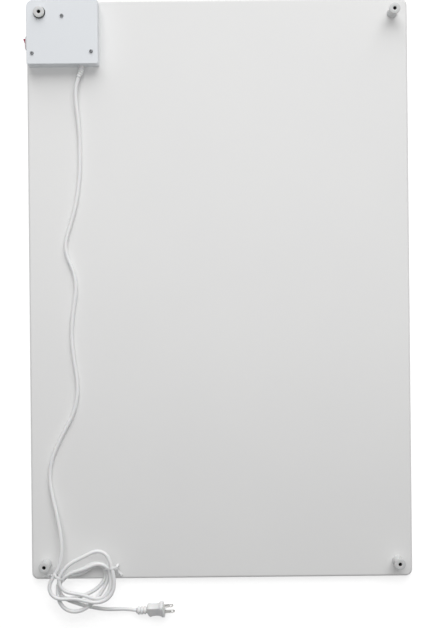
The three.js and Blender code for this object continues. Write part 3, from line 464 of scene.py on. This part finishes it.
# The ribbon's section, in shares of its half width and half thickness: the loop bulges over the wire core.
loop_section = [(-1, -0.4), (-0.8, -1), (0, -0.6), (0.8, -1), (1, -0.4),
                (1, 0.4), (0.8, 1), (0, 0.6), (-0.8, 1), (-1, 0.4)]
tail_section = [(-1, -0.4), (-0.8, -1), (0.8, -1), (1, -0.4), (1, 0.4), (0.8, 1), (-0.8, 1), (-1, 0.4)]
tie_clearance, tie_step, tail_step = 0.0006, 0.0012, 0.001


def strands_at(centre, along, reach):
    """Where the cord passes a plane across the hank, as (across, height) from the tie's centre."""
    offsets = cord_line[:, :2] - np.array(centre)
    ahead = offsets @ np.array(along)
    sideways = offsets @ np.array([-along[1], along[0]])
    found = []
    for i in range(len(cord_line) - 1):
        if ahead[i] * ahead[i + 1] <= 0 and abs(sideways[i]) < reach:
            found.append((sideways[i], cord_line[i][2]))
    return found


def hull_of(points):
    """The points that a tight band round all of them touches, in order."""
    points = sorted(points)
    sides = []
    for ordered in (points, points[::-1]):
        chain = []
        for p in ordered:
            while len(chain) > 1 and ((chain[-1][0] - chain[-2][0]) * (p[1] - chain[-2][1])
                                      <= (chain[-1][1] - chain[-2][1]) * (p[0] - chain[-2][0])):
                chain.pop()
            chain.append(p)
        sides += chain[:-1]
    return sides


def add_tie(name, centre, turn, reach, lean, tails):
    """A ribbon loop round the strands and its loose ends, which follow the tails' points.

    Each loose end turns once about itself and then stays flat but for a lean in degrees.
    """
    along = (math.cos(math.radians(turn)), math.sin(math.radians(turn)))
    across = np.array([-along[1], along[0], 0.0])
    middle = np.array([*centre, 0.0])
    girth = cord_radius + tie_clearance
    lowest = panel_high.z + 0.0005
    cloud = [
        (side + girth * math.cos(a), max(up + girth * math.sin(a), lowest))
        for side, up in strands_at(centre, along, reach) for a in np.linspace(0, 2 * math.pi, 25)
    ]
    loop = [middle + side * across + np.array([0, 0, up]) for side, up in hull_of(cloud)]
    loop = evenly_spaced(np.array(loop + loop[:1]), tie_step)
    foot = int(np.argmin(np.linalg.norm(loop - np.array(tails[0][0]), axis=1)))
    loop = np.roll(loop[:-1], -foot, axis=0)
    loop = np.vstack([loop, loop[:1]])
    rounding_passes = 6
    for _ in range(rounding_passes):
        loop[1:-1] = (loop[:-2] + 2 * loop[1:-1] + loop[2:]) / 4
    ahead = np.gradient(loop, axis=0)
    ahead /= np.linalg.norm(ahead, axis=1, keepdims=True)
    wide = np.array([*along, 0.0])
    rings = []
    for point, direction in zip(loop, ahead):
        out = np.cross(direction, wide)
        rings.append([
            point + a * ribbon_half_width * wide + b * ribbon_half_thick * out for a, b in loop_section
        ])
    pieces = [skin(f"{name}_loop", rings)]
    knot = loop[0] + np.array([0, 0, tie_clearance])
    for number, tail in enumerate(tails):
        path = evenly_spaced(curve_through([knot, *tail]), tail_step)
        steps = len(path)
        ahead = np.gradient(path, axis=0)
        ahead /= np.linalg.norm(ahead, axis=1, keepdims=True)
        rings = []
        for i, (point, direction) in enumerate(zip(path, ahead)):
            twist = math.pi * number + (2 * math.pi + math.radians(lean)) * min(i / (0.5 * steps), 1.0)
            up = np.array([0, 0, 1.0]) - direction * direction[2]
            up /= np.linalg.norm(up)
            side = np.cross(direction, up)
            turned_side = math.cos(twist) * side + math.sin(twist) * up
            turned_up = math.cos(twist) * up - math.sin(twist) * side
            rings.append([
                point + a * ribbon_half_width * turned_side + b * ribbon_half_thick * turned_up
                for a, b in tail_section
            ])
        pieces.append(skin(f"{name}_tail_{number + 1}", rings))
    return pieces


tie_plastic = make_finish(
    "twist_tie_plastic", (0.93, 0.935, 0.94), (0.88, 0.885, 0.89), roughness=0.30,
    grain=700, depth=0.00012, tone=300, spread=0.1,
)
left_tails = [
    [(-0.2668, -0.4508, 0.0205), (-0.2700, -0.4502, 0.0168), (-0.2735, -0.4508, 0.0143),
     (-0.2780, -0.4495, 0.0139), (-0.2828, -0.4515, 0.0139)],
    [(-0.2665, -0.4495, 0.0200), (-0.2690, -0.4478, 0.0165), (-0.2725, -0.4482, 0.0141),
     (-0.2755, -0.4478, 0.0139)],
]
right_tails = [
    [(-0.1660, -0.4390, 0.0210), (-0.1622, -0.4440, 0.0165), (-0.1575, -0.4500, 0.0140)],
    [(-0.1655, -0.4370, 0.0205), (-0.1650, -0.4430, 0.0165), (-0.1632, -0.4500, 0.0140)],
    [(-0.1660, -0.4350, 0.0205), (-0.1640, -0.4328, 0.0175), (-0.1618, -0.4335, 0.0145)],
]
tie_left = add_tie("twist_tie_left", (-0.2541, -0.4502), turn=52, reach=0.0125, lean=-50, tails=left_tails)
tie_right = add_tie("twist_tie_right", (-0.1765, -0.4360), turn=100, reach=0.0135, lean=40, tails=right_tails)
for piece in tie_left + tie_right:
    finish_piece(piece, tie_plastic, "panel")
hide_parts("twist_tie_left")
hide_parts("twist_tie_right")

# Cord bush. The cord leaves the box's bottom wall through a tapered strain relief of white plastic, cut into
# rings so that it bends with the cord, and held in the wall by a groove.
bush_foot = Vector((-0.2130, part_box("box_base")[0].y - 0.0003, cord_exit[2]))
bush_free, bush_bend, bush_bore = 0.018, 0.030, 0.0033
ring_count, ring_start, ring_pitch, ring_radius, ring_growth = 5, -0.0174, 0.0034, 0.0038, 0.00024
neck_length, neck_radius, flange_radius, flange_end = 0.0026, 0.0046, 0.0054, 0.0046
# The bush's outline when straight, from its free end to the flange in the box and back through the bore.
bush_profile = [(-bush_free, bush_bore), (-bush_free, 0.0036), (-0.0176, ring_radius)]
for ring in range(ring_count):
    start = ring_start + ring_pitch * ring
    radius = ring_radius + ring_growth * ring
    bush_profile += [(start, radius), (start + 0.0011, radius + 0.0001), (start + 0.0022, radius + 0.00016),
                     (start + 0.0024, radius - 0.0004), (start + 0.0031, radius - 0.0004),
                     (start + 0.0033, radius + 0.0001)]
bush_profile += [(-0.0002, 0.0052), (0.0, neck_radius), (neck_length, neck_radius),
                 (neck_length, flange_radius), (flange_end, flange_radius), (flange_end, bush_bore)]
bush_profile += [(-mm * step, bush_bore) for step in range(0, 19, 2)]


def bent_aside(along, across, up):
    """A place in the straight bush, moved to where the cord's pull has bent it."""
    angle = max(-along, 0) / bush_bend
    reach = bush_bend + across
    return (bush_foot.x - bush_bend + reach * math.cos(angle),
            bush_foot.y + max(along, 0) - reach * math.sin(angle), bush_foot.z + up)


bush_rings = [
    [bent_aside(along, a, b) for a, b in circle(radius, sides=40)][::-1] for along, radius in bush_profile
]
cord_bush = skin("cord_bush_ribbed", bush_rings, closed_ends=False)
finish_piece(cord_bush, moulded_white, "panel", ["cord_bush"])

# Radiant panel. Two white coated ceramic-fibre boards are bonded over the heating wire and its carrier sheet;
# their outer edges are rounded, and the bond line shows all round the edge.


def finished_copy(node, name, edge=0.0, angle=35):
    """A CAD node's own shape as one clean mesh with smooth round faces and, if asked, broken edges."""
    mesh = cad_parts[node].data.copy()
    mesh.name = name
    built = bmesh.new()
    built.from_mesh(mesh)
    bmesh.ops.remove_doubles(built, verts=built.verts[:], dist=1e-6)
    bmesh.ops.dissolve_limit(built, angle_limit=math.radians(0.5), verts=built.verts[:], edges=built.edges[:])
    built.to_mesh(mesh)
    built.free()
    made = bpy.data.objects.new(name, mesh)
    bpy.context.scene.collection.objects.link(made)
    soften_edges(made, edge, angle)
    mesh.set_sharp_from_angle(angle=math.radians(angle))
    return made


coated_board = make_finish(
    "coated_ceramic_board", (0.865, 0.865, 0.86), (0.85, 0.85, 0.847), roughness=0.46,
    grain=420, depth=0.00003, tone=5,
)
for node, name in (("front_board", "radiant_front_board"), ("back_board", "panel_back_board")):
    finish_piece(finished_copy(node, name), coated_board, "panel", [node])

# Wall spacers. Four turned-looking mouldings of white plastic stand at the corners of the back: a round body,
# a flanged head and a bore for the wall screw. They are all one piece of tooling, so one shape is repeated.
spacer_low, spacer_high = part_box("spacer_bottom_left")
far_low, far_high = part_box("spacer_top_right")
spacer_head = (spacer_high.x - spacer_low.x) / 2
head = spacer_head * 1000
top = (spacer_high.z - panel_high.z) * 1000
# Outlines from the panel's back upwards, in millimetres: radius, height.
spacer_profile = [
    (2.75, 0.3), (7.7, 0.3), (7.85, 0.5), (7.9, 0.9), (7.85, 1.6), (7.65, 2.2), (7.5, 2.6), (7.4, top - 5.0),
    (7.4, top - 3.6), (7.6, top - 3.2), (head - 0.3, top - 2.9), (head, top - 2.6), (head, top - 0.4),
    (head - 0.08, top - 0.15), (head - 0.3, top), (3.3, top), (3.0, top - 0.1), (2.8, top - 0.35),
    (2.75, top - 1.0), (2.75, 0.3),
]
# Painted shade: a thin near-black sleeve lines each spacer's bore and stands for the shade inside a deep
# bore.
bore_shade_profile = [(2.72, top - 0.6), (2.72, 0.4), (2.45, 0.4), (2.45, top - 0.6), (2.72, top - 0.6)]


def turned(name, profile):
    """A closed ring-shaped body turned round the Z axis from (radius, height) in millimetres."""
    rings = [[(a, b, mm * up) for a, b in circle(mm * radius, sides=48)] for radius, up in profile]
    return skin(name, rings, closed_ends=False)


spacer_shape = turned("spacer_shape", spacer_profile)
sleeve_shape = turned("sleeve_shape", bore_shade_profile)

corner_tree = bpy.data.node_groups.new("one_at_each_corner", "GeometryNodeTree")
add_sockets(corner_tree, "INPUT", {
    "Geometry": "NodeSocketGeometry", "Across": "NodeSocketFloat", "Down": "NodeSocketFloat",
    "Height": "NodeSocketFloat", "Finish": "NodeSocketMaterial",
})
add_sockets(corner_tree, "OUTPUT", {"Geometry": "NodeSocketGeometry"})
tree_in = corner_tree.nodes.new("NodeGroupInput")
tree_out = corner_tree.nodes.new("NodeGroupOutput")
corners = add_node(corner_tree, "GeometryNodeMeshGrid", {
    "Size X": tree_in.outputs["Across"], "Size Y": tree_in.outputs["Down"], "Vertices X": 2, "Vertices Y": 2,
})
lift = add_node(corner_tree, "ShaderNodeCombineXYZ", {"Z": tree_in.outputs["Height"]})
lifted = add_node(corner_tree, "GeometryNodeSetPosition", {
    "Geometry": corners.outputs["Mesh"], "Offset": lift.outputs["Vector"],
})
copies = add_node(corner_tree, "GeometryNodeInstanceOnPoints", {
    "Points": lifted.outputs["Geometry"], "Instance": tree_in.outputs["Geometry"],
})
real = add_node(corner_tree, "GeometryNodeRealizeInstances", {"Geometry": copies.outputs["Instances"]})
dressed = add_node(corner_tree, "GeometryNodeSetMaterial", {
    "Geometry": real.outputs["Geometry"], "Material": tree_in.outputs["Finish"],
})
corner_tree.links.new(dressed.outputs["Geometry"], tree_out.inputs["Geometry"])


def grown(name, source, tree, values):
    """The plain mesh that a geometry tree makes from a source object, which then goes."""
    modifier = source.modifiers.new(tree.name, "NODES")
    modifier.node_group = tree
    for item in tree.interface.items_tree:
        if item.in_out == "INPUT" and item.name in values:
            modifier[item.identifier] = values[item.name]
    shown = source.evaluated_get(bpy.context.evaluated_depsgraph_get())
    made = bpy.data.objects.new(name, bpy.data.meshes.new_from_object(shown))
    bpy.context.scene.collection.objects.link(made)
    bpy.data.objects.remove(source)
    return made


spacer_plastic = make_finish(
    "spacer_plastic", (0.66, 0.665, 0.665), (0.635, 0.64, 0.64), roughness=0.36,
    grain=1100, depth=0.000015, tone=50, Subsurface_Weight=0.03, Subsurface_Scale=0.001,
)
spacer_across = (far_low.x + far_high.x) / 2 - (spacer_low.x + spacer_high.x) / 2
spacer_down = (far_low.y + far_high.y) / 2 - (spacer_low.y + spacer_high.y) / 2
corner_values = {"Across": spacer_across, "Down": spacer_down, "Height": panel_high.z}
wall_spacers = grown("wall_spacers", spacer_shape, corner_tree, {**corner_values, "Finish": spacer_plastic})
finish_piece(
    wall_spacers, spacer_plastic, "panel",
    ["spacer_top_left", "spacer_top_right", "spacer_bottom_left", "spacer_bottom_right"],
)
# The sleeves' near-black is painted shade, put where the bore is only in shade.
painted_bore_shade = make_finish(
    "painted_bore_shade_black", (0.016, 0.016, 0.017), (0.010, 0.010, 0.011), roughness=0.62,
    grain=1500, depth=0.00002,
)
bore_sleeves = grown("bore_sleeves", sleeve_shape, corner_tree, {**corner_values, "Finish": painted_bore_shade})
finish_piece(bore_sleeves, painted_bore_shade, "panel")

# Control box. A white moulded tray is screwed to the back; its flat cover has softly rounded edges, a round
# hole that the top left spacer stands in, and three screws.
cover_plastic = make_finish(
    "control_box_plastic", (0.81, 0.835, 0.865), (0.79, 0.815, 0.845), roughness=0.40,
    grain=1300, depth=0.00002, tone=9,
)
box_tray = finished_copy("box_base", "control_box_tray", edge=0.0002)
finish_piece(box_tray, cover_plastic, "panel", ["box_base"])
box_cover = finished_copy("box_cover", "control_box_cover", edge=0.0001, angle=50)
# The hole's rim comes close to the spacer's head, so that only a thin dark gap shows round it.
hole_centre = Vector((-spacer_across / 2, spacer_down / 2))
hole_radius = spacer_head + 0.0010
rim_reach = 0.011
for vertex in box_cover.data.vertices:
    away = vertex.co.xy - hole_centre
    if away.length < rim_reach:
        vertex.co.xy = hole_centre + hole_radius * away.normalized()
finish_piece(box_cover, cover_plastic, "panel", ["box_cover"])

# Cover screws. Zinc-plated pan heads with a cross recess, the same screw at three places, each turned as the
# screwdriver left it.
screw_names = ["cover_screw_top", "cover_screw_left", "cover_screw_right"]
screw_turns = [0.35, 1.05, 0.12]
screw_low, screw_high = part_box(screw_names[0])
screw_radius = (screw_high.x - screw_low.x) / 2
head_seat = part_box("box_cover")[1].z + 0.0003
head_height = screw_high.z - head_seat
shank_radius = 0.00145
rim_share, dome_power, arm_share, recess_share, recess_depth = 0.42, 2.6, 0.14, 0.62, 0.62


def head_level(x, y):
    """The pan head's height over its seat at a point, with the cross recess pressed in."""
    share = min(math.hypot(x, y) / screw_radius, 1)
    dome = head_height * (rim_share + (1 - rim_share) * math.sqrt(max(1 - share**dome_power, 0)))
    arm = arm_share * screw_radius
    recess_end = recess_share * screw_radius
    slot = max(
        float(smooth_step((arm * 1.5 - abs(side)) / arm) * smooth_step((recess_end - abs(ahead)) / arm))
        for side, ahead in ((x, y), (y, x))
    )
    return dome - recess_depth * head_height * slot


ring_shares = [0.04, 0.1, 0.16, 0.22, 0.28, 0.35, 0.42, 0.5, 0.58, 0.66, 0.74, 0.82, 0.9, 0.96, 1.0]
screw_rings = []
for share in ring_shares:
    screw_rings.append([(x, y, head_level(x, y)) for x, y in circle(share * screw_radius, sides=64)])
for radius, level in ((screw_radius, 0.0), (shank_radius, 0.0), (shank_radius, screw_low.z - head_seat)):
    screw_rings.append([(x, y, level) for x, y in circle(radius, sides=64)])
screw_shape = skin("screw_shape", [ring[::-1] for ring in screw_rings])

screw_tree = bpy.data.node_groups.new("screws_at_places", "GeometryNodeTree")
add_sockets(screw_tree, "INPUT", {
    "Geometry": "NodeSocketGeometry", "Screw": "NodeSocketObject", "Finish": "NodeSocketMaterial",
})
add_sockets(screw_tree, "OUTPUT", {"Geometry": "NodeSocketGeometry"})
tree_in = screw_tree.nodes.new("NodeGroupInput")
tree_out = screw_tree.nodes.new("NodeGroupOutput")
one_screw = add_node(screw_tree, "GeometryNodeObjectInfo", {"Object": tree_in.outputs["Screw"]})
driven = add_node(screw_tree, "GeometryNodeInputNamedAttribute", {"Name": "driven"}, data_type="FLOAT")
angle = add_node(screw_tree, "ShaderNodeCombineXYZ", {"Z": driven.outputs["Attribute"]})
screws = add_node(screw_tree, "GeometryNodeInstanceOnPoints", {
    "Points": tree_in.outputs["Geometry"], "Instance": one_screw.outputs["Geometry"],
    "Rotation": angle.outputs["Vector"],
})
real = add_node(screw_tree, "GeometryNodeRealizeInstances", {"Geometry": screws.outputs["Instances"]})
dressed = add_node(screw_tree, "GeometryNodeSetMaterial", {
    "Geometry": real.outputs["Geometry"], "Material": tree_in.outputs["Finish"],
})
screw_tree.links.new(dressed.outputs["Geometry"], tree_out.inputs["Geometry"])

zinc_plate = make_finish(
    "zinc_plated_steel", (0.25, 0.255, 0.26), (0.14, 0.145, 0.155), roughness=0.34,
    grain=3000, depth=0.000008, tone=450, spread=0.12, Metallic=1.0,
)
screw_places = []
for name in screw_names:
    low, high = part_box(name)
    screw_places.append(((low.x + high.x) / 2, (low.y + high.y) / 2, head_seat))
screw_points = add_object("screw_points", screw_places, [])
screw_points.data.attributes.new("driven", "FLOAT", "POINT").data.foreach_set("value", screw_turns)
cover_screws = grown("cover_screws", screw_points, screw_tree, {"Screw": screw_shape, "Finish": zinc_plate})
bpy.data.objects.remove(screw_shape)
finish_piece(cover_screws, zinc_plate, "panel", screw_names)

# Rocker switch. A white housing with a rounded bezel snaps into the box's left wall; the glossy crimson
# rocker turns on its pins and carries the plunger, spring and neon lamp.
switch_white = make_finish(
    "switch_housing_white", (0.80, 0.805, 0.81), (0.77, 0.775, 0.78), roughness=0.33,
    grain=1500, depth=0.00001, tone=80,
)
rocker_red = make_finish(
    "rocker_crimson", (0.36, 0.012, 0.075), (0.30, 0.010, 0.060), roughness=0.22,
    grain=1200, depth=0.000006, tone=120, Subsurface_Weight=0.03, Subsurface_Scale=0.001, Coat_Weight=0.2,
)
switch_housing = finished_copy("switch_body", "switch_housing", edge=0.0001, angle=40)
finish_piece(switch_housing, switch_white, "panel", ["switch_body"])
rocker_cap = finished_copy("rocker", "rocker_cap", edge=0.0002, angle=30)
finish_piece(rocker_cap, rocker_red, "rocker", ["rocker"])

# Inner works. The parts under the cover and between the boards keep their CAD shapes and get the finish of
# what they are made of: brass contacts, phenolic and black mouldings, insulated cores, the heating element.
stamped_brass = make_finish(
    "stamped_brass", (0.66, 0.47, 0.20), (0.50, 0.35, 0.14), roughness=0.30,
    grain=1800, depth=0.00001, tone=220, spread=0.1, Metallic=1.0,
)
spring_wire = make_finish(
    "drawn_spring_steel", (0.42, 0.43, 0.44), (0.30, 0.31, 0.32), roughness=0.28,
    grain=2500, depth=0.000004, tone=300, Metallic=1.0,
)
element_wire = make_finish(
    "resistance_wire", (0.42, 0.38, 0.34), (0.28, 0.25, 0.23), roughness=0.38,
    grain=2500, depth=0.000006, tone=60, Metallic=1.0,
)
drawn_aluminium = make_finish(
    "drawn_aluminium", (0.62, 0.63, 0.64), (0.52, 0.53, 0.54), roughness=0.34,
    grain=1500, depth=0.000008, tone=120, stretch=(1, 1, 0.1), Metallic=1.0,
)
black_moulding = make_finish(
    "black_moulding", (0.022, 0.022, 0.024), (0.014, 0.014, 0.015), roughness=0.48,
    grain=1500, depth=0.00002,
)
phenolic_brown = make_finish(
    "phenolic_brown", (0.075, 0.040, 0.024), (0.045, 0.024, 0.015), roughness=0.42,
    grain=900, depth=0.00002,
)
lamp_envelope = make_finish(
    "neon_lamp_glass", (0.95, 0.62, 0.42), (0.90, 0.55, 0.36), roughness=0.06,
    grain=800, depth=0.000002, tone=100, spread=0.02, Transmission_Weight=0.85, IOR=1.5,
)
brown_insulation = make_finish(
    "brown_core_insulation", (0.17, 0.075, 0.035), (0.13, 0.055, 0.026), roughness=0.42,
    grain=1300, depth=0.00001,
)
blue_insulation = make_finish(
    "blue_core_insulation", (0.035, 0.13, 0.40), (0.026, 0.10, 0.33), roughness=0.42,
    grain=1300, depth=0.00001,
)
glass_sleeve = make_finish(
    "woven_glass_sleeve", (0.72, 0.71, 0.66), (0.58, 0.57, 0.52), roughness=0.75,
    grain=1600, depth=0.00010, tone=500,
)
carrier_sheet = make_finish(
    "glass_fibre_sheet", (0.66, 0.61, 0.50), (0.58, 0.53, 0.42), roughness=0.80,
    grain=700, depth=0.00008, tone=150,
)
bond_compound = make_finish(
    "bonding_compound", (0.62, 0.60, 0.56), (0.54, 0.52, 0.48), roughness=0.62,
    grain=500, depth=0.00008, tone=40,
)
inner_finishes = {
    sheath: ["cord_sheath_end"],
    zinc_plate: ["base_screw_left", "base_screw_right", "clamp_bar_screw_1", "clamp_bar_screw_2"],
    stamped_brass: ["plunger", "contact_seesaw", "terminal_line", "terminal_load", "terminal_lamp",
                    "cutout_tab_1", "cutout_tab_2"] + [f"clamp_screw_{i}" for i in range(1, 5)],
    spring_wire: ["rocker_spring"],
    lamp_envelope: ["neon_lamp"],
    element_wire: ["heating_wire"],
    nickel_plate: ["lead_crimp_1", "lead_crimp_2"],
    drawn_aluminium: ["cutout_cap"],
    phenolic_brown: ["cutout_body"],
    black_moulding: ["terminal_block", "cord_clamp"],
    brown_insulation: ["live_wire", "cutout_wire", "switched_wire"],
    blue_insulation: ["neutral_wire", "lamp_wire"],
    glass_sleeve: ["element_lead_1", "element_lead_2"],
    carrier_sheet: ["element_carrier"],
    bond_compound: ["bond_frame"],
}
for material, names in inner_finishes.items():
    for name in names:
        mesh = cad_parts[name].data
        mesh.materials.clear()
        mesh.materials.append(material)

# Floor and light. The heater lies on a plain white floor that glows more where less light falls; a broad soft
# light comes from beyond the heater's top edge, a weak one from above, and the sky is pale and even.
floor_reach, floor_level = 6, -0.0004
floor_corners = [
    (floor_reach * x, floor_reach * y, floor_level) for x, y in ((-1, -1), (1, -1), (1, 1), (-1, 1))
]
floor_mesh = add_object("floor", floor_corners, [(0, 1, 2, 3)])
floor_material = bpy.data.materials.new("white_floor")
floor_material.use_nodes = True
floor_tree = floor_material.node_tree
floor_tree.nodes.clear()


def rays_of(tree, *kinds):
    """A socket that is 1 for rays of these kinds and 0 for all others."""
    rays = add_node(tree, "ShaderNodeLightPath")
    seen = rays.outputs[f"Is {kinds[0]} Ray"]
    for kind in kinds[1:]:
        either = {0: seen, 1: rays.outputs[f"Is {kind} Ray"]}
        seen = add_node(tree, "ShaderNodeMath", either, operation="MAXIMUM").outputs[0]
    return seen


floor_place = add_node(floor_tree, "ShaderNodeTexCoord")
distance = add_node(
    floor_tree, "ShaderNodeVectorMath", {0: floor_place.outputs["Object"]}, operation="LENGTH",
)
brightness = add_node(floor_tree, "ShaderNodeMapRange", {
    "Value": distance.outputs["Value"], "From Min": 0.9, "From Max": 3.0, "To Min": 0.68, "To Max": 1.0,
})
glow = add_node(floor_tree, "ShaderNodeMath", {
    0: rays_of(floor_tree, "Camera", "Glossy", "Transmission"), 1: brightness.outputs["Result"],
}, operation="MULTIPLY")
lit = add_node(floor_tree, "ShaderNodeBsdfDiffuse", {"Color": (0.62, 0.62, 0.62, 1)})
white = add_node(floor_tree, "ShaderNodeEmission", {"Color": (1, 1, 1, 1), "Strength": glow.outputs[0]})
both = add_node(floor_tree, "ShaderNodeAddShader", {0: lit.outputs[0], 1: white.outputs[0]})
add_node(floor_tree, "ShaderNodeOutputMaterial", {"Surface": both.outputs[0]})
floor_mesh.data.materials.append(floor_material)

world = bpy.data.worlds.new("pale_sky")
bpy.context.scene.world = world
world.use_nodes = True
world_tree = world.node_tree
world_tree.nodes.clear()
sky_strength = add_node(world_tree, "ShaderNodeMapRange", {
    "Value": rays_of(world_tree, "Camera", "Glossy"), "To Min": 0.225, "To Max": 1.0,
})
sky = add_node(world_tree, "ShaderNodeBackground", {
    "Color": (1, 1, 1, 1), "Strength": sky_strength.outputs["Result"],
})
add_node(world_tree, "ShaderNodeOutputWorld", {"Surface": sky.outputs[0]})


def add_light(name, place, target, size, power):
    data = bpy.data.lights.new(name, "AREA")
    data.shape = "RECTANGLE"
    data.size, data.size_y = size
    data.energy = power
    light = bpy.data.objects.new(name, data)
    light.location = place
    light.rotation_euler = (Vector(target) - Vector(place)).to_track_quat("-Z", "Y").to_euler()
    bpy.context.scene.collection.objects.link(light)


add_light("window", place=(0.30, 2.88, 2.15), target=(0, 0, 0), size=(3.8, 3.4), power=114)
add_light("ceiling", place=(0.0, 0.1, 1.1), target=(0, 0.1, 0), size=(2.0, 0.6), power=3.2)
bpy.context.scene.view_settings.view_transform = "Standard"
